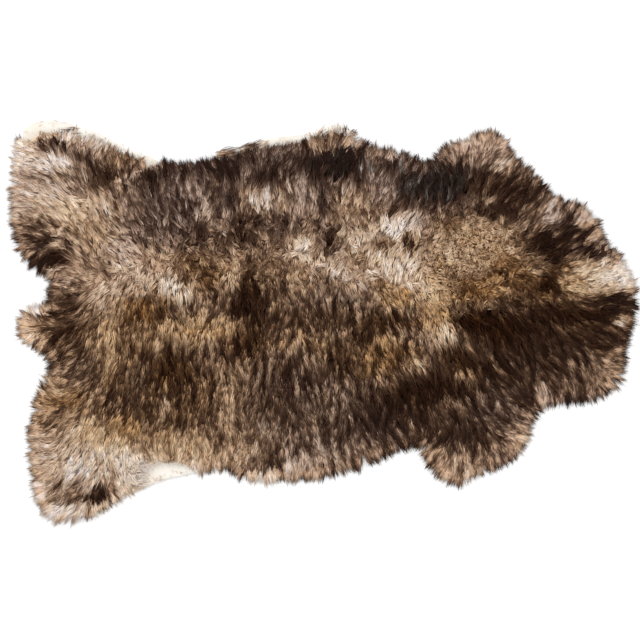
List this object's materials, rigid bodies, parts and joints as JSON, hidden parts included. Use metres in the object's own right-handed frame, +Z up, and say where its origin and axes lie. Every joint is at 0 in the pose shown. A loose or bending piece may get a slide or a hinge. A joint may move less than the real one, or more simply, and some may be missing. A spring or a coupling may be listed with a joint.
{
  "type": "sheepskin",
  "caption": "Sheepskin rug lying flat: one tanned hide with leg lobes, neck and tail stub, long two-tone wool on top and flat skin beneath.",
  "frame": {"origin": "centre of the overall box, on the surface that the hide lies on", "axes": "+X along the spine towards the neck, +Y towards the animal's left side, +Z up through the wool"},
  "size_m": [1.053, 0.6752, 0.0478],
  "materials": {
    "wool": "long soft wool, cream below and dark brown at the tips, dull with a faint sheen",
    "skin": "tanned skin, napped and matt on its underside"
  },
  "bodies": {
    "root": {"sheepskin": "wool"}
  },
  "joints": []
}
